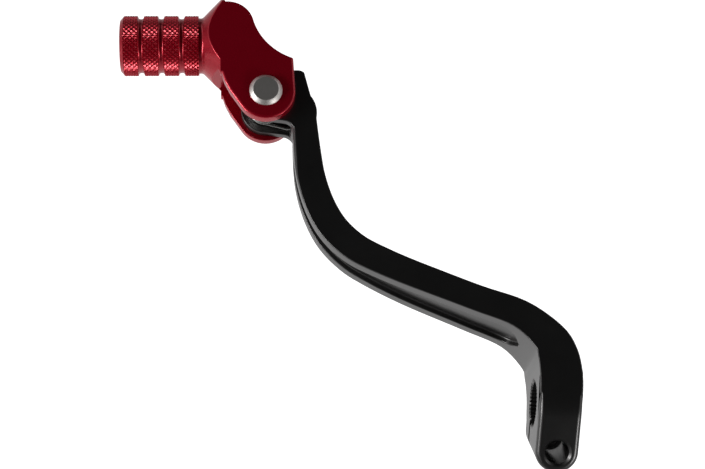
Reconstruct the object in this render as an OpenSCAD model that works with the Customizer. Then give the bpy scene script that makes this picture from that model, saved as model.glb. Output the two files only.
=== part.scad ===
// Motorcycle gear shift lever with a folding, sprung toe tip.
// Frame: origin at the centre of the splined bore, +X along the bore and away from the toe peg,
// +Y forward along the motorcycle, +Z up through the pivot pin. Millimetres.

/* [Clamp] */
// Width of the clamp along the shift shaft
clamp_w = 11.5; // [10.5:0.5:13]
// Outer radius of the clamp ring
ring_r = 12; // [11.5:0.5:13]
// Radius inside the spline teeth
spline_r = 5.9; // [5.5:0.1:6.2]
// Depth of each spline groove
spline_depth = 0.5; // [0.3:0.1:0.6]
// Number of spline grooves
spline_count = 36; // [30:1:40]
// Lean of the pinch bolt from the vertical, in degrees
bolt_lean = 30; // [20:1:35]
// Distance from the bore's axis to the pinch bolt's axis
bolt_reach = 9.8; // [9.8:0.1:11]
// Radius of the clearance hole in the near lug
bolt_clear_r = 3.2; // [3:0.1:3.2]
// Radius of the tapped hole in the far lug
bolt_tap_r = 2.5; // [2.4:0.1:2.6]
// Width of the clamp's slit
slit_w = 1.8; // [1.2:0.1:2.2]

/* [Arm] */
// Depth of the long pocket in each side of the arm
pocket_depth = 1.5; // [0.8:0.1:1.8]
// Height of the flange above and below each pocket
flange_h = 4.2; // [3:0.1:5]

/* [Pivot] */
// Distance of the pivot pin to the left of the bore
pin_left = 83.4; // [80:0.1:86]
// Distance of the pivot pin ahead of the bore
pin_ahead = 83.1; // [80:0.1:86]
// Radius of the pivot pin's shank
pin_r = 3; // [2.5:0.1:3.2]
// Radius of the pin's head
pin_head_r = 4.65; // [4.4:0.05:5]
// Height of the pin's head
pin_head_h = 1.25; // [1:0.05:1.5]
// Running clearance between the pin and what turns on it
run_gap = 0.04; // [0.02:0.01:0.08]
// Half the thickness of the arm's fork
fork_half = 6.3; // [6:0.1:6.4]
// Half the width of the slot in the arm's fork
fork_slot_half = 3.8; // [3.4:0.1:4]
// Radius of the fork's round end
fork_r = 7; // [6.5:0.1:7.2]
// Outer radius of the bushes
bush_r = 4; // [3.8:0.1:4.4]

/* [Toe tip] */
// Turn of the toe tip in plan, in degrees
tip_turn = 4.3; // [0:0.1:6]
// Half the thickness of the toe tip's block
block_half = 9.8; // [9.6:0.1:10.2]
// Half the gap between the toe tip's ears
ear_gap_half = 6.55; // [6.55:0.05:6.8]
// Radius of the ears around the pin
ear_r = 8.3; // [8:0.1:8.6]
// Distance of the peg's axis ahead of the pin
peg_ahead = 18.6; // [18:0.1:19]
// Radius over the knurled rings
knurl_r = 8.7; // [8.4:0.1:9]
// Number of knurled rings
ring_count = 4; // [3:1:5]
// Width of a knurled ring
ring_w = 4; // [3.6:0.1:4.2]
// Distance from one knurled ring to the next
ring_pitch = 5.8; // [5.6:0.1:6]

/* [Spring] */
// Radius of the spring wire
wire_r = 0.5; // [0.4:0.05:0.55]
// Radius of the coil to the middle of the wire
coil_r = 4.6; // [4.5:0.05:4.8]
// Number of turns
coil_turns = 5; // [4:1:5]

/* [Hidden] */
$fn = 64;
big = 200;

// Arm: stations along its middle line in plan, each with x, y and half the arm's width.
arm_line = [[-71.6, 73.5, 3.5], [-70.6, 66.1, 3.85], [-69.2, 59.2, 4], [-66.5, 51.8, 4.1],
            [-62.6, 45.3, 4.15], [-57.1, 40.1, 4.1], [-51.1, 36.7, 4], [-40.4, 32.15, 3.85],
            [-23.2, 26.05, 3.75], [-11.1, 21.9, 4.05], [-3.4, 15.75, 4.8], [-0.9, 10.8, 5.5],
            [0, 5, clamp_w / 2], [0, 0, clamp_w / 2]];
// Arm: half its height at places along X.
arm_height = [[-95, fork_half], [-66, fork_half], [-54, 7.1], [-48, 7.9], [-36, 9.2],
              [-22, 10], [-8, 11.1], [0, ring_r], [8, ring_r]];
// Where the side pockets stop, at the fork along Y and at the clamp along X.
pocket_top_y = 66;
pocket_end_x = -9;
pocket_round = 9;

// Fork: outline in the pin's own frame, before its round corners are cut.
stop_gap = 0.12;
slot_floor = 8.1;
shoulder_v = slot_floor - stop_gap;
fork_slot_end = 7;

// Clamp lugs, measured along the bolt.
lug_near = ring_r;
lug_far = -10;
slit_mid = -2;

// Toe tip, measured from the pin along the peg (u) and across it (v).
neck_u = -17.7;
neck_r = 8.2;
groove_r = 7.8;
flange_r = 13.7;
flange_u = neck_u + flange_r - neck_r;
neck_w = 1.3;
end_chamfer = 1;
peg_end_u = neck_u - neck_w - (ring_count - 1) * ring_pitch - ring_w - end_chamfer;
peg_end_r = 7.4;

// Pin and its retainer.
pin_flat_r = 3.5;
washer_t = 0.8;
washer_r = 5.4;
clip_t = 0.7;
clip_r = 4.8;
clip_groove_r = 2.4;
clip_top = -block_half - washer_t - 0.02;
pin_end = clip_top - clip_t - 0.9;
shim_t = 0.2;
shim_r = 6;
sleeve_r = 3.7;

// Spring: where its two legs run and how far they reach.
leg_z = 2.9;
leg_in = 1.4;
arm_leg_v = -coil_r - 1.6;

// A smooth curve through the stations p, with n steps between two stations.
function smooth_at(p, i, t) =
    let (a = p[max(i - 1, 0)], b = p[i], c = p[i + 1], d = p[min(i + 2, len(p) - 1)])
    0.5 * (2 * b + (c - a) * t + (2 * a - 5 * b + 4 * c - d) * t * t
           + (3 * b - a - 3 * c + d) * t * t * t);
function smooth(p, n) =
    [for (i = [0 : len(p) - 2], k = [0 : n - 1]) smooth_at(p, i, k / n), p[len(p) - 1]];
function unit(v) = v / norm(v);
// The side of a path at a signed share of its half width, less an inset.
function side(p, s, inset) =
    [for (i = [0 : len(p) - 1])
        let (d = unit([for (k = [0, 1]) p[min(i + 1, len(p) - 1)][k] - p[max(i - 1, 0)][k]]))
        [p[i][0] - s * d[1] * (p[i][2] - inset), p[i][1] + s * d[0] * (p[i][2] - inset)]];
function backwards(p) = [for (i = [len(p) - 1 : -1 : 0]) p[i]];
function arc(cx, cy, r, a0, a1, n) =
    [for (i = [0 : n]) let (a = a0 + (a1 - a0) * i / n) [cx + r * cos(a), cy + r * sin(a)]];

module in_pin_frame() translate([-pin_left, pin_ahead, 0]) rotate([0, 0, tip_turn]) children();
module in_bolt_frame() rotate([bolt_lean, 0, 0]) children();
module along_x() rotate([90, 0, 90]) children();
module tube(r_out, r_in, z0, z1) difference() {
    translate([0, 0, z0]) cylinder(r = r_out, h = z1 - z0);
    translate([0, 0, z0 - 1]) cylinder(r = r_in, h = z1 - z0 + 2);
}

// The arm in plan; inset takes that much off both sides.
module arm_plan(inset) {
    path = smooth(arm_line, 5);
    polygon(concat(side(path, 1, inset), backwards(side(path, -1, inset))));
}

// The arm in side view, along X.
module arm_side() {
    edge = smooth(arm_height, 4);
    polygon(concat(edge, backwards([for (p = edge) [p[0], -p[1]]])));
}

// The pocket in side view, with a round end at the clamp.
module pocket_side() {
    edge = [for (p = smooth(arm_height, 4)) if (p[0] < pocket_end_x) [p[0], p[1] - flange_h]];
    tail = pocket_end_x - pocket_round;
    full = [for (p = edge) if (p[0] < tail) p];
    high = full[len(full) - 1][1];
    top = concat(full, [for (a = [80 : -10 : 10])
        [tail + pocket_round * cos(a), high * sin(a)]], [[pocket_end_x, 0]]);
    polygon(concat(top, backwards([for (p = top) [p[0], -p[1]]])));
}

// The fork's plan in the pin's frame: a round end, a stop shoulder and a blend into the arm.
module fork_plan() {
    circle(r = fork_r);
    polygon(concat([[0, -fork_r], [4.6, -7.6]], arc(4.4, -11.1, 3.5, 86, 8, 6), [[9, -16], [14, -13.5]],
                   arc(6, -5, 8.4, -12, 37, 6), arc(9.2, shoulder_v - 2.6, 2.6, 45, 90, 4),
                   [[2, shoulder_v - 0.1], [0, fork_r]]));
}

module spline_grooves(w) {
    half = 0.28;
    tip_r = spline_r + spline_depth;
    along_x() linear_extrude(height = w + 2, center = true)
        for (i = [0 : spline_count - 1]) rotate(i * 360 / spline_count)
            polygon([[spline_r - 0.6, -half], [spline_r, -half], [tip_r, 0], [spline_r, half],
                     [spline_r - 0.6, half]]);
}

module clamp_lugs() {
    in_bolt_frame() translate([0, 0, lug_far]) linear_extrude(height = lug_near - lug_far) union() {
        translate([-clamp_w / 2, -bolt_reach]) square([clamp_w, bolt_reach]);
        translate([0, -bolt_reach]) circle(r = clamp_w / 2);
    }
}

module lever_arm() color([0.1, 0.1, 0.11]) difference() {
    union() {
        intersection() {
            translate([0, 0, -big / 2]) linear_extrude(height = big) union() {
                arm_plan(0);
                translate([-pin_left, pin_ahead]) rotate(tip_turn) fork_plan();
            }
            rotate([90, 0, 0]) linear_extrude(height = 2 * big, center = true) arm_side();
        }
        along_x() cylinder(r = ring_r, h = clamp_w, center = true);
        clamp_lugs();
    }
    // Long pockets in both sides, which leave the arm's core between them.
    difference() {
        translate([0, pocket_top_y, 0]) rotate([90, 0, 0]) linear_extrude(height = big) pocket_side();
        translate([0, 0, -big / 2]) linear_extrude(height = big) arm_plan(pocket_depth);
        translate([-clamp_w / 2 - 3, -30, -big / 2]) cube([40, 40, big]);
    }
    in_pin_frame() {
        translate([-20, -20, -fork_slot_half]) cube([20 + fork_slot_end, 40, 2 * fork_slot_half]);
        cylinder(r = bush_r, h = big, center = true);
        translate([fork_slot_end - 1, arm_leg_v, -leg_z]) rotate([0, 90, 0]) cylinder(r = 0.7, h = 3);
    }
    along_x() cylinder(r = spline_r, h = clamp_w + 2, center = true);
    spline_grooves(clamp_w);
    in_bolt_frame() {
        translate([-big / 2, -40, slit_mid - slit_w / 2]) cube([big, 40, slit_w]);
        translate([0, -bolt_reach, slit_mid]) cylinder(r = bolt_clear_r, h = 30);
        translate([0, -bolt_reach, lug_near - 0.6]) cylinder(r1 = bolt_clear_r, r2 = bolt_clear_r + 1, h = 1);
        translate([0, -bolt_reach, lug_far - 1]) cylinder(r = bolt_tap_r, h = 12);
    }
}

// Turned shape of the toe tip: half of its section, as [distance along the peg, radius].
function peg_profile() = concat(
    [[peg_end_u, 0], [peg_end_u, peg_end_r], [peg_end_u + end_chamfer, knurl_r]],
    [for (i = [0 : ring_count - 1]) let (u = peg_end_u + end_chamfer + i * ring_pitch)
        each [[u, knurl_r], [u + ring_w, knurl_r],
              [u + ring_w, i < ring_count - 1 ? groove_r : neck_r],
              [i < ring_count - 1 ? u + ring_pitch : neck_u, i < ring_count - 1 ? groove_r : neck_r]]],
    [[flange_u, flange_r], [10, flange_r], [10, 0]]);

// The block's outline around the pin, seen from above.
function block_outline() = concat(
    arc(0, 0, ear_r, -145, 0, 14), [[8.2, 9]], arc(13.8, 26.8, 17.7, -113, -166, 10),
    arc(-10.7, 20.5, 7.6, 16, 94, 8), [[-12.3, 33], [-25, 33], [-25, 5.9], [-12.8, 5.9],
    [-11.6, 3.3], [-10.15, 0.3]]);

module toe_tip() color([0.62, 0.05, 0.12]) in_pin_frame() difference() {
    union() {
        // Knurled peg, cone and the part of the block that is turned with them.
        intersection() {
            translate([0, peg_ahead, 0]) rotate([0, 90, 0]) rotate_extrude()
                polygon([for (p = peg_profile()) [p[1], p[0]]]);
            translate([0, 0, -block_half]) linear_extrude(height = 2 * block_half) union() {
                polygon(block_outline());
                translate([-60, 0]) square([60 + flange_u - 0.5, 60]);
            }
        }
        // Lower half of the block, which carries the ears.
        translate([0, 0, -block_half]) linear_extrude(height = 2 * block_half) intersection() {
            polygon(block_outline());
            translate([flange_u - 0.6, -20]) square([40, 20 + peg_ahead]);
        }
    }
    translate([-30, -30, -ear_gap_half]) cube([60, 30 + slot_floor, 2 * ear_gap_half]);
    cylinder(r = pin_r, h = big, center = true);
    translate([-coil_r, slot_floor - 1, leg_z]) rotate([-90, 0, 0]) cylinder(r = 0.7, h = 4);
}

module pivot_pin() color([0.62, 0.6, 0.58]) in_pin_frame() difference() {
    union() {
        translate([0, 0, pin_end]) cylinder(r = pin_r, h = block_half - pin_end);
        translate([0, 0, block_half]) cylinder(r = pin_head_r, h = 0.2);
        translate([0, 0, block_half + 0.2])
            cylinder(r1 = pin_head_r, r2 = pin_flat_r, h = pin_head_h - 0.2);
    }
    tube(pin_r + 1, clip_groove_r, clip_top - clip_t - 0.04, clip_top + 0.02);
}

module pin_washer() color([0.7, 0.7, 0.7]) in_pin_frame()
    tube(washer_r, pin_r + run_gap, -block_half - washer_t, -block_half);

module pin_circlip() color([0.3, 0.3, 0.32]) in_pin_frame() difference() {
    tube(clip_r, clip_groove_r, clip_top - clip_t, clip_top);
    translate([-1.7, 0, clip_top - 3]) cube([3.4, 10, 6]);
}

// The spring's middle line: arm leg, turns, then the leg that pushes the toe tip.
function spring_line() = let (
    turn = -360 * coil_turns - 90,
    steps = 16 * coil_turns + 4,
    coil = [for (i = [0 : steps]) let (a = -90 + turn * i / steps)
        [coil_r * cos(a), coil_r * sin(a), -leg_z + 2 * leg_z * i / steps]])
    concat([[fork_slot_end + leg_in, arm_leg_v, -leg_z], [fork_slot_end - 1, arm_leg_v, -leg_z]],
           coil, [[-coil_r, slot_floor + leg_in, leg_z]]);

// A round wire of radius r along the points p.
module wire(p, r) {
    sides = 8;
    last = len(p) - 1;
    rings = [for (i = [0 : last])
        let (d = unit(p[min(i + 1, last)] - p[max(i - 1, 0)]), a = unit(cross(d, [0, 0, 1])), b = cross(a, d))
        for (k = [0 : sides - 1]) p[i] + r * cos(k * 360 / sides) * a + r * sin(k * 360 / sides) * b];
    walls = [for (i = [0 : last - 1], k = [0 : sides - 1]) let (n = (k + 1) % sides)
        [i * sides + k, i * sides + n, (i + 1) * sides + n, (i + 1) * sides + k]];
    ends = [[for (k = [sides - 1 : -1 : 0]) k], [for (k = [0 : sides - 1]) last * sides + k]];
    polyhedron(points = rings, faces = concat(walls, ends));
}

module torsion_spring() color([0.75, 0.75, 0.72]) in_pin_frame() wire(spring_line(), wire_r);

module spring_sleeve() color([0.8, 0.8, 0.76]) in_pin_frame()
    tube(sleeve_r, pin_r + run_gap, -fork_slot_half + 0.1, fork_slot_half - 0.1);

module upper_bush() color([0.72, 0.52, 0.25]) in_pin_frame()
    tube(bush_r, pin_r + run_gap, fork_slot_half, fork_half);

module lower_bush() color([0.72, 0.52, 0.25]) in_pin_frame()
    tube(bush_r, pin_r + run_gap, -fork_half, -fork_slot_half);

module upper_shim() color([0.8, 0.8, 0.8]) in_pin_frame()
    tube(shim_r, pin_r + run_gap, fork_half + 0.02, fork_half + 0.02 + shim_t);

module lower_shim() color([0.8, 0.8, 0.8]) in_pin_frame()
    tube(shim_r, pin_r + run_gap, -fork_half - 0.02 - shim_t, -fork_half - 0.02);

lever_arm();
toe_tip();
pivot_pin();
pin_washer();
pin_circlip();
torsion_spring();
spring_sleeve();
upper_bush();
lower_bush();
upper_shim();
lower_shim();
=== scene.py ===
import bpy
import bmesh
from math import atan2, cos, degrees, pi, radians, sin, sqrt
from mathutils import Matrix, Vector


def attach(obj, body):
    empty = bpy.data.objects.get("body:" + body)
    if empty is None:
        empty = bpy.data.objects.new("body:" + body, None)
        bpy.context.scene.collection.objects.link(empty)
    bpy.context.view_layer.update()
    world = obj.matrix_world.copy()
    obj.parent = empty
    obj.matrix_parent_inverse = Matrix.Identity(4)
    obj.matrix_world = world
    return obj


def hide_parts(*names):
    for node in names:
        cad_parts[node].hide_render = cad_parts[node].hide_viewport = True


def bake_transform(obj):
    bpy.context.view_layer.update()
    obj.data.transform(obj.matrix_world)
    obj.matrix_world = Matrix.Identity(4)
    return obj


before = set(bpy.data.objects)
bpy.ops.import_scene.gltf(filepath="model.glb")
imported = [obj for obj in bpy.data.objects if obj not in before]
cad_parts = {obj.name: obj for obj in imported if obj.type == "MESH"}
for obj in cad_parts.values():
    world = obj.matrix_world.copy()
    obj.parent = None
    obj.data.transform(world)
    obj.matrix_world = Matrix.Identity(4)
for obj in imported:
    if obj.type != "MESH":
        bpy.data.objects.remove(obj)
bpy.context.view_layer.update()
print("frame loaded")

# Pieces are modelled in millimetres and brought to metres when each one is finished.
toMetres = 0.001


def objectMode():
    if bpy.context.mode != "OBJECT":
        bpy.ops.object.mode_set(mode="OBJECT")


def take(obj):
    objectMode()
    bpy.ops.object.select_all(action="DESELECT")
    obj.select_set(True)
    bpy.context.view_layer.objects.active = obj


def edit(obj, kind="VERT"):
    take(obj)
    bpy.ops.object.mode_set(mode="EDIT")
    bpy.ops.mesh.select_mode(type=kind)
    bpy.ops.mesh.select_all(action="DESELECT")


def pick(obj, kind, test):
    edit(obj, kind)
    bm = bmesh.from_edit_mesh(obj.data)
    bm.normal_update()
    found = 0
    for item in {"VERT": bm.verts, "EDGE": bm.edges, "FACE": bm.faces}[kind]:
        if test(item):
            item.select_set(True)
            found += 1
    bmesh.update_edit_mesh(obj.data)
    return found


def everything():
    bpy.ops.mesh.select_all(action="SELECT")


def middle(edge):
    return (edge.verts[0].co + edge.verts[1].co) / 2


def bend(edge):
    return degrees(edge.calc_face_angle_signed(0)) if len(edge.link_faces) == 2 else 0


def tracePoints(name, points):
    objectMode()
    bpy.ops.object.select_all(action="DESELECT")
    bpy.ops.mesh.primitive_plane_add(size=1, location=(0, 0, 0))
    obj = bpy.context.active_object
    obj.name = obj.data.name = name
    edit(obj)
    everything()
    bpy.ops.mesh.merge(type="CENTER")
    bpy.ops.transform.translate(value=points[0])
    for a, b in zip(points, points[1:]):
        bpy.ops.mesh.extrude_region_move(TRANSFORM_OT_translate={"value": Vector(b) - Vector(a)})
    return obj


def plateFrom(name, points, *steps):
    # a closed outline, filled and then raised in the given steps
    obj = tracePoints(name, points)
    everything()
    bpy.ops.mesh.edge_face_add()
    for step in steps:
        bpy.ops.mesh.extrude_region_move(TRANSFORM_OT_translate={"value": step})
    everything()
    bpy.ops.mesh.normals_make_consistent(inside=False)
    objectMode()
    return obj


def turned(name, points, axis, steps, centre=(0, 0, 0)):
    obj = tracePoints(name, points)
    everything()
    bpy.ops.mesh.spin(steps=steps, angle=2 * pi, center=centre, axis=axis)
    everything()
    bpy.ops.mesh.remove_doubles(threshold=0.002)
    everything()
    bpy.ops.mesh.normals_make_consistent(inside=False)
    objectMode()
    return obj


def drum(name, radius, low, high, sides=64, turn=None):
    objectMode()
    bpy.ops.object.select_all(action="DESELECT")
    bpy.ops.mesh.primitive_cylinder_add(vertices=sides, radius=radius, depth=high - low,
                                        location=(0, 0, (low + high) / 2))
    obj = bpy.context.active_object
    obj.name = name
    if turn:
        obj.matrix_world = turn @ obj.matrix_world
    bpy.ops.object.transform_apply(location=True, rotation=True, scale=True)
    return obj


def block(name, low, high, turn=None):
    objectMode()
    bpy.ops.object.select_all(action="DESELECT")
    bpy.ops.mesh.primitive_cube_add(size=1, location=[(a + b) / 2 for a, b in zip(low, high)])
    obj = bpy.context.active_object
    obj.name = name
    obj.scale = [b - a for a, b in zip(low, high)]
    bpy.context.view_layer.update()
    if turn:
        obj.matrix_world = turn @ obj.matrix_world
    bpy.ops.object.transform_apply(location=True, rotation=True, scale=True)
    return obj


def carve(obj, tool, how="DIFFERENCE"):
    take(obj)
    step = obj.modifiers.new("carve", "BOOLEAN")
    step.object, step.operation, step.solver = tool, how, "MANIFOLD"
    bpy.ops.object.modifier_apply(modifier=step.name)
    bpy.data.objects.remove(tool)


def roundEdges(obj, widths, segments):
    # widths: (edge, bend) -> radius in millimetres, or 0 to leave the edge sharp
    edit(obj, "EDGE")
    bm = bmesh.from_edit_mesh(obj.data)
    bm.normal_update()
    wanted = {}
    for e in bm.edges:
        r = widths(e, bend(e))
        if r > 0:
            wanted.setdefault(round(r, 3), []).append(e.index)
    widest = max(wanted)
    for r, indices in wanted.items():
        bpy.ops.mesh.select_all(action="DESELECT")
        bm = bmesh.from_edit_mesh(obj.data)
        bm.edges.ensure_lookup_table()
        for i in indices:
            bm.edges[i].select_set(True)
        bmesh.update_edit_mesh(obj.data)
        bpy.ops.transform.edge_bevelweight(value=r / widest)
    take(obj)
    step = obj.modifiers.new("round", "BEVEL")
    step.limit_method, step.width, step.segments = "WEIGHT", widest, segments
    step.use_clamp_overlap, step.miter_outer = False, "MITER_SHARP"
    bpy.ops.object.modifier_apply(modifier=step.name)


def tidyMesh(obj, gap=0.001):
    edit(obj)
    everything()
    bpy.ops.mesh.remove_doubles(threshold=gap)
    everything()
    bpy.ops.mesh.dissolve_degenerate(threshold=0.0005)
    everything()
    bpy.ops.mesh.normals_make_consistent(inside=False)
    objectMode()


def finishPiece(obj, body, node, material, smooth=30):
    take(obj)
    obj.scale = (toMetres,) * 3
    bpy.ops.object.transform_apply(location=True, rotation=True, scale=True)
    bpy.ops.object.shade_smooth_by_angle(angle=radians(smooth))
    step = obj.modifiers.new("evenShade", "WEIGHTED_NORMAL")
    step.keep_sharp, step.weight = True, 60
    bpy.ops.object.modifier_apply(modifier=step.name)
    obj.data.materials.clear()
    obj.data.materials.append(material)
    if body:
        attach(obj, body)
    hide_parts(node)
    return obj


def arc(cx, cy, r, start, stop, steps):
    angles = [radians(start + (stop - start) * i / steps) for i in range(steps + 1)]
    return [(cx + r * cos(a), cy + r * sin(a)) for a in angles]


class Socket:
    # wraps an output socket, so that masks can be written as expressions
    def __init__(self, tree, out):
        self.tree, self.out = tree, out

    def __add__(self, other):
        return self.tree.maths("ADD", self, other)

    def __mul__(self, other):
        return self.tree.maths("MULTIPLY", self, other)

    def __pow__(self, other):
        return self.tree.maths("POWER", self, other)

    def __rpow__(self, other):
        return self.tree.maths("POWER", other, self)

    __radd__, __rmul__ = __add__, __mul__


class NodeTree:
    def __init__(self, owner):
        owner.use_nodes = True
        self.nodes, self.links = owner.node_tree.nodes, owner.node_tree.links

    def add(self, kind, settings=None, values=None, output=0):
        node = self.nodes.new(kind)
        for label, value in (settings or {}).items():
            if label == "stops":
                ramp = node.color_ramp
                while len(ramp.elements) < len(value):
                    ramp.elements.new(0.5)
                for element, (place, colour) in zip(ramp.elements, value):
                    element.position, element.color = place, colour
            else:
                setattr(node, label, value)
        for key, value in (values or {}).items():
            if isinstance(value, Socket):
                self.links.new(value.out, node.inputs[key])
            else:
                node.inputs[key].default_value = value
        return Socket(self, node.outputs[output]) if node.outputs else None

    def maths(self, operation, *values):
        return self.add("ShaderNodeMath", {"operation": operation}, dict(enumerate(values)))

    def part(self, vector, axis):
        return self.add("ShaderNodeSeparateXYZ", None, {0: vector}, axis)

    def between(self, mask, low, high, start=0.0, end=1.0):
        # start to end becomes low to high
        return self.add("ShaderNodeMapRange", {"clamp": True}, {
            "Value": mask, "From Min": start, "From Max": end, "To Min": low, "To Max": high})


class Finish(NodeTree):
    def __init__(self, name, **fixed):
        self.material = bpy.data.materials.new(name)
        super().__init__(self.material)
        self.surface = self.nodes["Principled BSDF"]
        for label, value in fixed.items():
            self.surface.inputs[label.replace("_", " ")].default_value = value

    def place(self, location=(0, 0, 0), stretch=(1, 1, 1)):
        coords = self.add("ShaderNodeTexCoord", output="Object")
        return self.add("ShaderNodeMapping", {"vector_type": "POINT"},
                        {"Vector": coords, "Location": location, "Scale": stretch})

    def noise(self, where, scale, detail=2.0, rough=0.5):
        return self.add("ShaderNodeTexNoise", {"noise_dimensions": "3D"},
                        {"Vector": where, "Scale": scale, "Detail": detail, "Roughness": rough})

    def blend(self, mask, first, second):
        return self.add("ShaderNodeMix", {"data_type": "RGBA", "blend_type": "MIX"},
                        {0: mask, 6: first, 7: second}, output=2)

    def feed(self, label, source):
        self.links.new(source.out, self.surface.inputs[label])

    def bump(self, height, strength, distance):
        self.feed("Normal", self.add("ShaderNodeBump", None, {
            "Height": height, "Strength": strength, "Distance": distance}))
        return self.material


def anodised(name, deep, bright, metallic, roughness, coat, grain):
    # dyed oxide over a fine bead-blasted skin: cloudy colour, satin grain and faint handling marks
    f = Finish(name, Metallic=metallic, Coat_Weight=coat, Coat_Roughness=0.12, Coat_IOR=1.6)
    where = f.place()
    cloud = f.noise(where, 90.0, 3.0, 0.55)
    skin = f.noise(where, grain, 2.0, 0.6)
    marks = f.noise(f.place(stretch=(1.0, 9.0, 3.0)), 420.0, 4.0, 0.7)
    f.feed("Base Color", f.blend(f.between(cloud * 0.7 + skin * 0.3, 0.0, 1.0), deep, bright))
    f.feed("Roughness", f.between(marks * 0.6 + cloud * 0.4, roughness - 0.05, roughness + 0.06))
    return f.bump(skin * 0.7 + marks * 0.3, 0.12, 0.00002)


def turnedMetal(name, centre, deep, bright, roughness, ringGap):
    # rings left by the tool around the axis of the part, with a satin polish over them
    f = Finish(name, Metallic=1.0)
    where = f.place(location=[-c for c in centre])
    along, across = f.part(where, "X"), f.part(where, "Y")
    radius = (along * along + across * across) ** 0.5
    wobble = f.noise(where, 500.0, 2.0)
    rings = f.maths("SINE", radius * (2 * pi / ringGap) + wobble * 3.0)
    grain = f.noise(where, 2600.0, 3.0, 0.6)
    cloud = f.noise(where, 160.0, 2.0)
    f.feed("Base Color", f.blend(f.between(cloud * 0.6 + grain * 0.4, 0.0, 1.0), deep, bright))
    f.feed("Roughness", f.between(grain * 0.5 + rings * 0.15 + 0.25, roughness - 0.06, roughness + 0.08))
    return f.bump(rings * 0.5 + grain * 0.5, 0.15, 0.00003)


def plainMetal(name, deep, bright, roughness, metallic=1.0, grainSize=2200.0):
    # also the polymer of the sleeve, with no metal in it
    f = Finish(name, Metallic=metallic)
    where = f.place()
    grain = f.noise(where, grainSize, 3.0, 0.6)
    cloud = f.noise(where, 220.0, 2.0)
    f.feed("Base Color", f.blend(f.between(cloud * 0.6 + grain * 0.4, 0.0, 1.0), deep, bright))
    f.feed("Roughness", f.between(grain * 0.6 + cloud * 0.4, roughness - 0.06, roughness + 0.08))
    return f.bump(grain, 0.12, 0.00002)


pivot = {"left": 83.4, "ahead": 83.1, "turn": 4.3}
pinCentre = (-pivot["left"] * toMetres, pivot["ahead"] * toMetres, 0.0)

blackFinish = anodised("blackAnodised", (0.085, 0.083, 0.083, 1), (0.13, 0.127, 0.126, 1),
                       metallic=0.9, roughness=0.3, coat=0.1, grain=3200.0)
redFinish = anodised("redAnodised", (0.47, 0.001, 0.016, 1), (0.58, 0.002, 0.024, 1),
                     metallic=0.5, roughness=0.25, coat=0.3, grain=3000.0)
pinFinish = turnedMetal("turnedSteel", pinCentre, (0.74, 0.71, 0.68, 1), (0.88, 0.85, 0.82, 1),
                        roughness=0.46, ringGap=0.00028)
steelFinish = plainMetal("plainSteel", (0.5, 0.49, 0.47, 1), (0.62, 0.61, 0.6, 1), 0.3)
clipFinish = plainMetal("phosphatedSteel", (0.05, 0.05, 0.052, 1), (0.1, 0.1, 0.105, 1), 0.42)
wireFinish = plainMetal("springWire", (0.45, 0.45, 0.44, 1), (0.6, 0.6, 0.58, 1), 0.26)
bronzeFinish = plainMetal("bushBronze", (0.42, 0.25, 0.09, 1), (0.55, 0.35, 0.14, 1), 0.33)
sleeveFinish = plainMetal("sleevePolymer", (0.62, 0.61, 0.56, 1), (0.74, 0.73, 0.68, 1), 0.45,
                          metallic=0.0, grainSize=1500.0)
print("materials made")


# The lever arm has its fork, S-shaped arm and clamp in one forging.
arm = {
    # stations along the middle line: x, y, half width
    "line": [(-71.6, 73.5, 3.5), (-70.6, 66.1, 3.85), (-69.2, 59.2, 4.0), (-66.5, 51.8, 4.1),
             (-62.6, 45.3, 4.15), (-57.1, 40.1, 4.1), (-51.1, 36.7, 4.0), (-40.4, 32.15, 3.85),
             (-23.2, 26.05, 3.75), (-11.1, 21.9, 4.05), (-3.4, 15.75, 4.8), (-0.9, 10.8, 5.5),
             (0.0, 5.0, 5.75), (0.0, 0.0, 5.75)],
    # half height at places along x
    "height": [(-95, 6.3), (-66, 6.3), (-54, 7.1), (-48, 7.9), (-36, 9.2), (-22, 10), (-8, 11.1),
               (0, 12), (8, 12)],
    "edge": 2.2,  # rounding of the long edges
    "land": 2.0,  # flat left on each side between the rounding and the pocket
    "pocketDepth": 1.5,
    "pocketTop": 66.0,
    "pocketEnd": -9.0,
    "pocketRound": 9.0,
    "pocketLeast": 1.0,  # half height left at the very end of the pocket
    "outerRow": 3,  # half heights of the rows of faces before each takes its own height
    "innerRow": 1,
}
# radii on the arm's edges; the long ones grow from the pocket's radius by growth for each millimetre
# below growFrom, forkEnd is in the pin's frame, and boreZone is the square of the distance from the
# bore's axis within which every edge stays sharp
armEdges = {"fork": 0.3, "hollow": 0.55, "pocket": 0.35, "clamp": 1.5, "growth": 0.22, "forkEnd": -9.2,
            "growFrom": 73.0, "boreZone": 60}
sharpest = 32  # edges that bend less than this many degrees stay as they are
fork = {"half": 6.3, "slotHalf": 3.8, "slotEnd": 7.0, "r": 7.0, "bushR": 4.0, "shoulder": 7.98}
clamp = {"w": 11.5, "ringR": 12.0, "splineR": 5.9, "splineDepth": 0.5, "splines": 36, "lean": 30.0,
         "reach": 9.8, "clearR": 3.2, "tapR": 2.5, "slit": 1.8, "near": 12.0, "far": -10.0, "slitMid": -2.0,
         "mouth": 0.35, "flare": 1.17, "chamfer": 0.6, "threadDepth": 0.22, "threadStep": 0.4}

pinFrame = (Matrix.Translation((-pivot["left"], pivot["ahead"], 0))
            @ Matrix.Rotation(radians(pivot["turn"]), 4, "Z"))
boltFrame = Matrix.Rotation(radians(clamp["lean"]), 4, "X")


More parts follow.
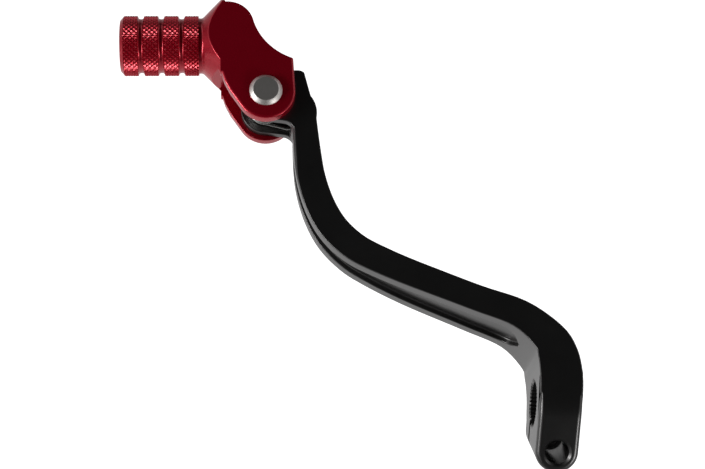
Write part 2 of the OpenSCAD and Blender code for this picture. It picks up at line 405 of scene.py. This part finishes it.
def through(stations, steps):
    # a smooth curve through the stations
    out = []
    last = len(stations) - 1
    for i in range(last):
        a, b = stations[max(i - 1, 0)], stations[i]
        c, d = stations[i + 1], stations[min(i + 2, last)]
        for k in range(steps):
            t = k / steps
            out.append(tuple(0.5 * (2 * q + (r - p) * t + (2 * p - 5 * q + 4 * r - s) * t * t
                                    + (3 * q - p - 3 * r + s) * t ** 3) for p, q, r, s in zip(a, b, c, d)))
    return out + [tuple(stations[last])]


def heightAt(x):
    curve = through(arm["height"], 4)
    for (x0, h0), (x1, h1) in zip(curve, curve[1:]):
        if x0 <= x <= x1:
            return h0 + (h1 - h0) * (x - x0) / (x1 - x0)
    return curve[-1][1]


def headings(path):
    out = []
    for i in range(len(path)):
        a, b = path[max(i - 1, 0)], path[min(i + 1, len(path) - 1)]
        out.append(atan2(b[1] - a[1], b[0] - a[0]))
    out[-1] = radians(-90)  # square to the clamp
    return out


def pocketHalf(place, tailStart, total, height):
    # half height of the pocket at a distance along the arm, with an oval end
    full = height - arm["edge"] - arm["land"]
    if place <= tailStart:
        return full
    share = min((place - tailStart) / (total - tailStart), 0.985)
    return max(full * sqrt(1 - share * share), arm["pocketLeast"])


def buildArmStrip():
    path = through(arm["line"], 5)
    turns = headings(path)
    x, y, w = path[0]
    side = Vector((-sin(turns[0]), cos(turns[0]), 0)) * w
    obj = tracePoints("leverArm", [Vector((x, y, 0)) + side, Vector((x, y, 0)) - side])
    everything()
    for i in range(1, len(path)):
        step = Vector((path[i][0] - path[i - 1][0], path[i][1] - path[i - 1][1], 0))
        bpy.ops.mesh.extrude_region_move(TRANSFORM_OT_translate={"value": step})
        here = (path[i][0], path[i][1], 0)
        bpy.ops.transform.rotate(value=-(turns[i] - turns[i - 1]), orient_axis="Z", center_override=here)
        bpy.ops.transform.resize(value=(path[i][2] / path[i - 1][2],) * 3, center_override=here)
    everything()
    outer, inner = arm["outerRow"], arm["innerRow"]
    bpy.ops.transform.translate(value=(0, 0, -outer))
    for _ in range(3):
        bpy.ops.mesh.extrude_region_move(TRANSFORM_OT_translate={"value": (0, 0, outer - inner)})
    # each station gets its own height, and the two middle rows follow the pocket
    lengths = [0.0]
    for a, b in zip(path, path[1:]):
        lengths.append(lengths[-1] + sqrt((a[0] - b[0]) ** 2 + (a[1] - b[1]) ** 2))
    endIndex = min(i for i, p in enumerate(path) if p[0] > arm["pocketEnd"] and p[1] < 30)
    total = lengths[endIndex]
    for i, (px, py, pw) in enumerate(path):
        high = heightAt(px)
        pocket = pocketHalf(lengths[i], total - arm["pocketRound"], total, high)
        if i == 0:
            high = fork["half"]
        for level, value in ((outer, high), (inner, pocket)):
            pick(obj, "VERT", lambda v: abs(abs(v.co.z) - level) < 0.01
                 and abs((v.co.x - px) ** 2 + (v.co.y - py) ** 2 - pw * pw) < 0.02 * pw
                 and abs((v.co.x - px) * cos(turns[i]) + (v.co.y - py) * sin(turns[i])) < 0.02)
            bpy.ops.transform.resize(value=(1, 1, value / level), center_override=(0, 0, 0))
    everything()
    bpy.ops.mesh.normals_make_consistent(inside=False)
    objectMode()
    return obj, path, turns, endIndex


def forkOutline(path, turns):
    # the fork in plan, in the pin's frame; it ends on the first station of the arm
    back = pinFrame.inverted()
    x, y, w = path[0]
    side = Vector((-sin(turns[0]), cos(turns[0]), 0)) * w
    ends = sorted((back @ (Vector((x, y, 0)) + turn * side) for turn in (1, -1)), key=lambda p: p.x)
    points = arc(0, 0, fork["r"], 90, 270, 28)
    points += [(4.6, -7.6)] + arc(4.4, -11.1, 3.5, 70, 24, 5) + [(p.x, p.y) for p in ends]
    points += arc(6, -5, 8.4, -12, 37, 8) + arc(9.2, fork["shoulder"] - 2.6, 2.6, 45, 90, 5)
    points += [(2, fork["shoulder"] - 0.1)]
    return [pinFrame @ Vector((u, v, 0)) for u, v in points]


def clampOutline(inner):
    # ring and lugs seen along the bore, as (y, z)
    lean, r = radians(clamp["lean"]), clamp["ringR"]
    ahead, up = Vector((0, cos(lean), sin(lean))), Vector((0, -sin(lean), cos(lean)))
    tail = -(clamp["reach"] + clamp["w"] / 2)
    near, far = clamp["near"], clamp["far"]
    points = [Vector((0, y, z)) for y, z in arc(0, 0, r, 90, 90 + clamp["lean"], 6)]
    points += [ahead * tail * k / 6 + up * near for k in (1, 2, 3, 6)] + [ahead * tail + up * far]
    foot = -sqrt(r * r - far * far)
    points += [ahead * (tail + (foot - tail) * k / 4) + up * far for k in (3, 4)]
    points += [Vector((0, 0, -r)), Vector((0, 0, -inner)), Vector((0, 0, inner))]
    return points


def dropFaces(obj, test):
    if pick(obj, "FACE", test):
        bpy.ops.mesh.delete(type="FACE")
    objectMode()


def buildLeverArm():
    obj, path, turns, endIndex = buildArmStrip()
    endInner = sorted(abs(v.co.z) for v in obj.data.vertices if v.co.y < 0.01)[0]
    startInner = sorted(abs(v.co.z) for v in obj.data.vertices if abs(v.co.y - path[0][1]) < 0.6)[0]

    # side pockets: the middle row of faces, pushed in on both sides
    inside = [Vector(((a[0] + b[0]) / 2, (a[1] + b[1]) / 2, (a[2] + b[2]) / 2))
              for a, b in zip(path[:endIndex], path[1:]) if b[1] < arm["pocketTop"]]

    def inPocket(face):
        c = face.calc_center_median()
        near = min(inside, key=lambda p: abs((p.x - c.x) ** 2 + (p.y - c.y) ** 2 - p.z * p.z))
        return (abs(face.normal.z) < 0.3 and abs(c.z) < 0.4
                and abs(sqrt((near.x - c.x) ** 2 + (near.y - c.y) ** 2) - near.z) < 0.12)
    pick(obj, "FACE", inPocket)
    bpy.ops.mesh.extrude_region_shrink_fatten(TRANSFORM_OT_shrink_fatten={"value": -arm["pocketDepth"]})

    # the fork is traced in plan and raised in the same three layers
    half = fork["half"]
    plate = plateFrom("forkPlate", [p - Vector((0, 0, half)) for p in forkOutline(path, turns)],
                      (0, 0, half - startInner), (0, 0, 2 * startInner), (0, 0, half - startInner))
    w = clamp["w"]
    lug = plateFrom("clampPlate", [p - Vector((w / 2, 0, 0)) for p in clampOutline(endInner)], (w, 0, 0))
    lean = boltFrame.inverted()
    corner = clamp["reach"] + w / 2

    def lugCorner(e):
        a, b = lean @ e.verts[0].co, lean @ e.verts[1].co
        return abs(a.y + corner) < 0.01 and abs(b.y + corner) < 0.01 and abs(a.x - b.x) < 0.01
    pick(lug, "EDGE", lugCorner)
    bpy.ops.mesh.bevel(offset=w / 2 - 0.05, offset_type="OFFSET", segments=12, affect="EDGES",
                       clamp_overlap=False)
    objectMode()

    # the faces where the three meet are dropped and their corners joined
    nose = Vector((path[0][0], path[0][1], 0))
    heading = Vector((cos(turns[0]), sin(turns[0]), 0))
    atNose = lambda f: (abs((f.calc_center_median() - nose).dot(heading)) < 0.02 and abs(f.normal.z) < 0.1
                        and (f.calc_center_median() - nose).length < half + 1)
    atClamp = lambda f: abs(f.calc_center_median().y) < 0.01 and abs(f.normal.y) > 0.9
    for piece in (obj, plate):
        dropFaces(piece, atNose)
    for piece in (obj, lug):
        dropFaces(piece, atClamp)
    take(obj)
    plate.select_set(True)
    lug.select_set(True)
    bpy.ops.object.join()
    tidyMesh(obj, 0.03)
    print("forging joined, open edges", pick(obj, "EDGE", lambda e: len(e.link_faces) != 2))

    slot = fork["slotHalf"]
    carve(obj, block("slotTool", (-20, -20, -slot), (fork["slotEnd"], 20, slot), pinFrame))

    # every third corner of the bore is drawn out into a serration
    r, mouth, flare = clamp["splineR"], clamp["mouth"], clamp["flare"]
    bore = drum("boreTool", r, mouth - w / 2, w / 2 - mouth, 3 * clamp["splines"])
    pick(bore, "VERT", lambda v: round(degrees(atan2(v.co.y, v.co.x)) / (120 / clamp["splines"])) % 3 == 0)
    deep = (r + clamp["splineDepth"]) / r
    bpy.ops.transform.resize(value=(deep, deep, 1), center_override=(0, 0, 0))
    for sign in (-1, 1):
        # the mouths flare out to a chamfer
        pick(bore, "FACE", lambda f: f.normal.z * sign > 0.9)
        bpy.ops.mesh.extrude_region_move(TRANSFORM_OT_translate={"value": (0, 0, sign)})
        bpy.ops.transform.resize(value=(flare, flare, 1), center_override=(0, 0, 0))
    objectMode()
    bore.data.transform(Matrix.Rotation(radians(90), 4, "Y"))
    carve(obj, bore)

    edges = armEdges

    def width(e, angle):
        p = middle(e)
        if p.y * p.y + p.z * p.z < edges["boreZone"] or abs(angle) < sharpest:
            return 0
        if angle < 0:
            return edges["fork"] if p.y > arm["pocketTop"] else edges["hollow"]
        if (pinFrame.inverted() @ p).y > edges["forkEnd"]:
            return edges["fork"]
        if p.y <= 0.2:
            return edges["clamp"]
        if abs(abs(p.z) - heightAt(p.x)) >= 0.02:
            return edges["pocket"]
        # the long edges start fine at the fork and open out along the arm
        return min(arm["edge"], edges["pocket"] + edges["growth"] * max(0.0, edges["growFrom"] - p.y))
    roundEdges(obj, width, 4)

    mid, slit = clamp["slitMid"], clamp["slit"] / 2
    carve(obj, block("slitTool", (-20, -40, mid - slit), (20, 0, mid + slit), boltFrame))
    y, cut = -clamp["reach"], clamp["chamfer"]
    r, top = clamp["clearR"], clamp["near"]
    sides = [(0, y, mid), (r, y, mid), (r, y, top - cut), (r + 2 * cut, y, top + cut), (0, y, top + cut)]
    clear = turned("clearTool", sides, (0, 0, 1), 64, (0, y, 0))
    clear.data.transform(boltFrame)
    carve(obj, clear)
    # the tapped hole has a ring for each thread, and runs from outside the lug into the slit
    r, start, depth, step = clamp["tapR"], clamp["far"] - 1, clamp["threadDepth"], clamp["threadStep"]
    threads = [(r + depth * (k % 2), y, start + step * k) for k in range(int((mid - start) / step) + 2)]
    tap = turned("tapTool", [(0, y, start)] + threads + [(0, y, threads[-1][2])], (0, 0, 1), 48, (0, y, 0))
    tap.data.transform(boltFrame)
    carve(obj, tap)
    carve(obj, drum("bushTool", fork["bushR"], -10, 10, 64, turn=pinFrame))
    return finishPiece(obj, "arm", "lever_arm", blackFinish)


leverArm = buildLeverArm()
print("lever arm done", len(leverArm.data.polygons), "faces")


# The toe tip is a knurled peg, a cone and a forked block, turned and milled from one bar.
tip = {"half": 9.8, "gapHalf": 6.55, "earR": 8.3, "pegAhead": 18.6, "knurlR": 8.7, "rings": 4, "ringW": 4.0,
       "pitch": 5.8, "grooveR": 7.8, "neckU": -17.7, "neckR": 8.2, "neckW": 1.3, "flangeR": 13.7,
       "endChamfer": 1.0, "endR": 7.4, "slotFloor": 8.1, "pinR": 3.0, "around": 38, "knurlDepth": 0.42,
       "knurlProud": 0.06, "knurlBlunt": 0.17, "ringBore": 0.84, "ringTurn": 0.7, "earEdge": 0.9,
       "faceEdge": 0.35, "sideEdge": 0.25, "blockEnd": -12.85, "barEnd": 12}
tip["flangeU"] = tip["neckU"] + tip["flangeR"] - tip["neckR"]
tip["pegLength"] = (tip["rings"] - 1) * tip["pitch"] + tip["ringW"] + tip["endChamfer"]
tip["endU"] = tip["neckU"] - tip["neckW"] - tip["pegLength"]
pegFrame = pinFrame @ Matrix.Translation((0, tip["pegAhead"], 0))


def blockOutline():
    points = arc(0, 0, tip["earR"], -145, 0, 28)
    points += arc(13.8, 26.8, 17.7, -109.5, -166, 18) + arc(-10.7, 20.5, 7.6, 16, 94, 14)
    return points + [(-12.3, 33), (-60, 33), (-60, 5.9), (-12.4, 5.9), (-11.6, 3.3), (-10.15, 0.3)]


def buildPegCore():
    t = tip
    points = [(t["endU"], 0, 0), (t["endU"], t["endR"], 0),
              (t["endU"] + t["endChamfer"], t["knurlR"] - 0.2, 0)]
    for i in range(t["rings"]):
        u = t["endU"] + t["endChamfer"] + i * t["pitch"]
        if i == 0:
            points.append((u + 0.4, t["grooveR"], 0))
        if i < t["rings"] - 1:
            a, b = u + t["ringW"], u + t["pitch"]
            # a round-bottomed groove
            points += [((a + b) / 2 + 0.8 * g, t["grooveR"] + 0.45 - 0.5 * h, 0)
                       for g, h in arc(0, 0, 1, 180, 0, 12)]
    u, r, end = t["neckU"], t["neckR"], t["barEnd"]
    points += [(u - t["neckW"] + 0.2, r - 0.2, 0), (u - 0.6, r - 0.25, 0), (u - 0.25, r - 0.15, 0),
               (u + 0.15, r + 0.12, 0), (t["flangeU"], t["flangeR"], 0), (end, t["flangeR"], 0), (end, 0, 0)]
    obj = turned("toeTip", points, (1, 0, 0), 96)
    obj.data.transform(pegFrame)
    return obj


def buildKnurlRing():
    t = tip
    around, r = t["around"], t["knurlR"]
    cell = 2 * pi * r / around / 2  # half a diamond
    rows = int(t["ringW"] / cell) + 3
    low = -rows * cell / 2
    obj = drum("knurlRing", r - t["knurlDepth"], low, -low, 2 * around)
    dropFaces(obj, lambda f: abs(f.normal.z) > 0.9)
    pick(obj, "EDGE", lambda e: abs(e.verts[0].co.z - e.verts[1].co.z) > 1)
    bpy.ops.mesh.subdivide(number_cuts=rows - 1)
    # every other corner stands proud, which leaves two crossing sets of grooves
    step = pi / around

    def proud(v):
        return (round((atan2(v.co.y, v.co.x) + pi) / step) + round((v.co.z - low) / cell)) % 2 == 0
    pick(obj, "VERT", proud)
    k = (r + t["knurlProud"]) / (r - t["knurlDepth"])
    bpy.ops.transform.resize(value=(k, k, 1), center_override=(0, 0, 0))
    everything()
    bpy.ops.mesh.quads_convert_to_tris(quad_method="SHORTEST_DIAGONAL")
    pick(obj, "VERT", lambda v: sqrt(v.co.x ** 2 + v.co.y ** 2) > r and abs(v.co.z) < -low - 0.01)
    bpy.ops.mesh.bevel(offset=t["knurlBlunt"], segments=1, affect="VERTICES", clamp_overlap=False)
    for z, outer in ((t["ringW"] / 2, True), (-t["ringW"] / 2, False)):
        everything()
        bpy.ops.mesh.bisect(plane_co=(0, 0, z), plane_no=(0, 0, 1), clear_outer=outer, clear_inner=not outer)
    for sign in (1, -1):
        pick(obj, "EDGE", lambda e: len(e.link_faces) == 1 and middle(e).z * sign > 0)
        bpy.ops.mesh.extrude_region_move(TRANSFORM_OT_translate={"value": (0, 0, 0)})
        bpy.ops.transform.resize(value=(t["ringBore"], t["ringBore"], 1), center_override=(0, 0, 0))
    pick(obj, "EDGE", lambda e: len(e.link_faces) == 1)
    bpy.ops.mesh.bridge_edge_loops()
    tidyMesh(obj, 0.001)
    print("knurl open edges", pick(obj, "EDGE", lambda e: len(e.link_faces) != 2))
    objectMode()
    obj.data.transform(Matrix.Rotation(radians(90), 4, "Y"))
    return obj


def buildToeTip():
    t = tip
    body = buildPegCore()
    # a block for the ears joins the turned bar, and the whole is milled to the outline
    ears = block("earTool", (t["blockEnd"], -20, -20), (20, t["pegAhead"] - 0.5, 20), pinFrame)
    carve(body, ears, "UNION")
    slab = plateFrom("slabTool", [pinFrame @ Vector((u, v, -t["half"])) for u, v in blockOutline()],
                     (0, 0, 2 * t["half"]))
    carve(body, slab, "INTERSECT")
    carve(body, block("gapTool", (-30, -30, -t["gapHalf"]), (60, t["slotFloor"], t["gapHalf"]), pinFrame))
    tidyMesh(body, 0.002)
    back = pinFrame.inverted()

    def width(e, angle):
        q = back @ middle(e)
        if angle < sharpest or q.x < t["neckU"] + 1.0:
            return 0
        top = abs(abs(q.z) - t["half"]) < 0.02
        # the ears are rounder than the block, up to a sharp corner of the outline on each side
        if top and q.y < (5.85 if q.x < 0 else 9.95):
            return t["earEdge"]
        return t["faceEdge"] if top else t["sideEdge"]
    roundEdges(body, width, 3)
    carve(body, drum("pinTool", t["pinR"], -20, 20, 64, turn=pinFrame))
    ring = buildKnurlRing()
    for i in range(t["rings"]):
        one = ring.copy()
        one.data = ring.data.copy()
        bpy.context.collection.objects.link(one)
        u = t["endU"] + t["endChamfer"] + t["ringW"] / 2 + i * t["pitch"]
        turn = Matrix.Rotation(t["ringTurn"] * i, 4, "X")
        one.data.transform(pegFrame @ Matrix.Translation((u, 0, 0)) @ turn)
        carve(body, one, "UNION")
    bpy.data.objects.remove(ring)
    return finishPiece(body, "tip", "toe_tip", redFinish)


toeTip = buildToeTip()
print("toe tip done", len(toeTip.data.polygons), "faces")


pinShape = {"headR": 4.65, "flatR": 3.55, "head": 1.25, "band": 0.2, "end": -12.22, "grooveR": 2.4,
            "grooveLow": -11.32, "grooveHigh": -10.62}


def buildPin():
    s, h, r = pinShape, tip["half"], tip["pinR"]
    low, high, top = s["grooveLow"], s["grooveHigh"], h + s["head"]
    points = [(0, 0, s["end"]), (r - 0.4, 0, s["end"]), (r, 0, s["end"] + 0.4),
              (r, 0, low), (s["grooveR"], 0, low), (s["grooveR"], 0, high), (r, 0, high),
              (r, 0, h), (s["headR"] - 0.08, 0, h), (s["headR"], 0, h + 0.08),
              (s["headR"], 0, h + s["band"]), (s["headR"] - 0.07, 0, h + s["band"] + 0.12),
              (s["flatR"] + 0.1, 0, top - 0.06), (s["flatR"], 0, top),
              (1.2, 0, top - 0.01), (0, 0, top - 0.02)]
    obj = turned("pivotPin", points, (0, 0, 1), 96)
    obj.data.transform(pinFrame)
    return finishPiece(obj, "tip", "pivot_pin", pinFinish)


# rings on the pin: outer radius, the heights between which each stands, and its rounding
washer = {"outer": 5.4, "low": -10.6, "high": -9.8, "edge": 0.08}
sleeve = {"outer": 3.7, "low": -3.7, "high": 3.7, "edge": 0.1}
bush = {"outer": 4.0, "low": 3.8, "high": 6.3, "edge": 0.1}
shim = {"outer": 6.0, "low": 6.32, "high": 6.52, "edge": 0.04}
ringBore = 3.04


def below(ring):
    return dict(ring, low=-ring["high"], high=-ring["low"])


def buildRing(name, ring, body, node, material):
    outer, inner, edge = ring["outer"], ringBore, ring["edge"]
    low, high = ring["low"], ring["high"]
    points = [(inner, 0, low + edge), (inner + edge, 0, low), (outer - edge, 0, low), (outer, 0, low + edge),
              (outer, 0, high - edge), (outer - edge, 0, high), (inner + edge, 0, high),
              (inner, 0, high - edge), (inner, 0, low + edge)]
    obj = turned(name, points, (0, 0, 1), 72)
    obj.data.transform(pinFrame)
    return finishPiece(obj, body, node, material)


clip = {"outer": 4.8, "inner": 3.9, "foot": 2.42, "thick": 0.7, "edge": 0.06}


def buildClip():
    # retaining clip: an open ring with three short feet that sit in the pin's groove
    wide, foot = clip["inner"], clip["foot"]
    outline = arc(0, 0, clip["outer"], 112, 428, 40)
    for a, b, r in ((428, 412, wide), (412, 392, foot), (392, 368, wide), (368, 352, wide),
                    (352, 330, wide), (282, 258, foot), (258, 210, wide), (210, 172, wide),
                    (172, 148, wide), (148, 128, foot), (128, 112, wide)):
        outline += arc(0, 0, r, a, b, 4)
    low = pinShape["grooveLow"]
    obj = plateFrom("pinClip", [Vector((x, y, low)) for x, y in outline], (0, 0, clip["thick"]))
    roundEdges(obj, lambda e, angle: clip["edge"] if angle > 40 else 0, 2)
    obj.data.transform(pinFrame)
    return finishPiece(obj, "tip", "pin_circlip", clipFinish)


buildPin()
buildRing("pinWasher", washer, "tip", "pin_washer", steelFinish)
buildClip()
buildRing("springSleeve", sleeve, "tip", "spring_sleeve", sleeveFinish)
buildRing("upperBush", bush, "arm", "upper_bush", bronzeFinish)
buildRing("lowerBush", below(bush), "arm", "lower_bush", bronzeFinish)
buildRing("upperShim", shim, "tip", "upper_shim", steelFinish)
buildRing("lowerShim", below(shim), "tip", "lower_shim", steelFinish)
print("pin, retainer and bushes done")

spring = {"wire": 0.5, "coil": 4.6, "turns": 5, "legZ": 2.9, "legIn": 1.4}


def buildSpring():
    # one wire from the leg in the fork, round the sleeve, to the leg in the tip
    s = spring
    legV = -s["coil"] - 1.6
    route = [(fork["slotEnd"] + s["legIn"], legV, -s["legZ"]), (fork["slotEnd"] - 1, legV, -s["legZ"])]
    steps = 24 * s["turns"] + 6
    for i in range(steps + 1):
        a = radians(-90 - (360 * s["turns"] + 90) * i / steps)
        route.append((s["coil"] * cos(a), s["coil"] * sin(a), -s["legZ"] + 2 * s["legZ"] * i / steps))
    route.append((-s["coil"], tip["slotFloor"] + s["legIn"], s["legZ"]))
    line = tracePoints("torsionSpring", route)
    objectMode()
    take(line)
    bpy.ops.object.convert(target="CURVE")
    line.data.dimensions = "3D"
    line.data.bevel_depth, line.data.bevel_resolution, line.data.use_fill_caps = s["wire"], 4, True
    bpy.ops.object.convert(target="MESH")
    tidyMesh(line, 0.001)
    line.data.transform(pinFrame)
    obj = finishPiece(line, None, "torsion_spring", wireFinish, 50)
    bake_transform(obj)


buildSpring()
print("spring done")


view = {"tilt": 20.05, "yaw": -2.25, "roll": 3.58, "target": (-56.77, 45.32, 0.0), "distance": 458.6,
        "lens": 84.0}
# the floor's height and size in millimetres; its glow falls from under to beyond as the distance from
# its middle goes from near to far, in metres
sheet = {"height": -120.0, "size": 6000, "near": 0.12, "far": 0.3, "under": 0.36, "beyond": 0.03}
# brightness of the room from straight down to straight up, and how dim it is in front and behind
room = {"heights": [(0.0, 0.04), (0.5, 0.04), (0.56, 0.25), (0.62, 0.9), (0.69, 0.9), (0.77, 0.16),
                    (0.88, 0.05), (1.0, 0.04)],
        "dim": 0.12, "dimWithin": 0.32, "fullBeyond": 0.5, "seen": (0.96, 0.96, 0.96, 1)}
lampAim = Vector((-0.045, 0.045, 0.0))


def makeFloor():
    objectMode()
    bpy.ops.object.select_all(action="DESELECT")
    centre = Vector((view["target"][0], view["target"][1], sheet["height"])) * toMetres
    bpy.ops.mesh.primitive_plane_add(size=sheet["size"] * toMetres, location=centre)
    floor = bpy.context.active_object
    floor.name = "floor"
    f = Finish("paleFloor", Base_Color=(0.9, 0.9, 0.9, 1), Roughness=0.9, Emission_Color=(1, 1, 1, 1))
    # the sheet glows evenly where it is looked at; in reflections it is a lit patch under the part
    seen = f.add("ShaderNodeLightPath", output="Is Camera Ray")
    coords = f.add("ShaderNodeTexCoord", output="Object")
    reach = f.add("ShaderNodeVectorMath", {"operation": "LENGTH"}, {0: coords}, "Value")
    patch = f.between(reach, sheet["under"], sheet["beyond"], sheet["near"], sheet["far"])
    f.feed("Emission Strength", f.add("ShaderNodeMix", None, {"Factor": seen, "A": patch, "B": 1.0}))
    floor.data.materials.append(f.material)


def makeWorld():
    world = bpy.data.worlds.new("studio")
    bpy.context.scene.world = world
    f = NodeTree(world)
    f.nodes.clear()
    where = f.add("ShaderNodeTexCoord", output="Generated")
    height = f.between(f.part(where, "Z"), 0.0, 1.0, -1.0, 1.0)
    stops = [(place, (value, value, value, 1)) for place, value in room["heights"]]
    colour = f.add("ShaderNodeValToRGB", {"stops": stops}, {"Fac": height})
    # the band of light stands to the left and right, and is dim in front and behind
    strength = f.between(f.maths("ABSOLUTE", f.part(where, "X")), room["dim"], 1.0,
                         room["dimWithin"], room["fullBeyond"])
    around = f.add("ShaderNodeBackground", None, {"Color": colour, "Strength": strength})
    sky = f.add("ShaderNodeBackground", None, {"Color": room["seen"]})
    seen = f.add("ShaderNodeLightPath", output="Is Camera Ray")
    mix = f.add("ShaderNodeMixShader", None, {"Fac": seen, 1: around, 2: sky})
    f.add("ShaderNodeOutputWorld", None, {0: mix})


def makeLamp(name, size, power, place):
    lamp = bpy.data.lights.new(name, "AREA")
    lamp.shape, lamp.size, lamp.size_y, lamp.energy = "RECTANGLE", size[0], size[1], power
    obj = bpy.data.objects.new(name, lamp)
    bpy.context.scene.collection.objects.link(obj)
    obj.location = place
    obj.rotation_euler = (lampAim - Vector(place)).to_track_quat("-Z", "Y").to_euler()


def makeCamera():
    camera = bpy.data.cameras.new("camera")
    obj = bpy.data.objects.new("camera", camera)
    bpy.context.scene.collection.objects.link(obj)
    obj.rotation_mode = "ZYX"
    obj.rotation_euler = (radians(view["tilt"]), radians(view["yaw"]), radians(view["roll"]))
    turn = obj.rotation_euler.to_matrix()
    obj.location = (Vector(view["target"]) + turn @ Vector((0, 0, view["distance"]))) * toMetres
    camera.sensor_width, camera.lens = 36.0, view["lens"]
    camera.clip_start, camera.clip_end = 0.01, 20.0
    bpy.context.scene.camera = obj


makeFloor()
makeWorld()
makeLamp("leftStrip", (0.5, 0.16), 3.0, (-0.9, -0.2, 0.3))
makeLamp("rightStrip", (0.4, 0.14), 1.6, (0.65, -0.6, 0.3))
makeCamera()
bpy.context.scene.view_settings.view_transform = "Standard"
print("studio ready")
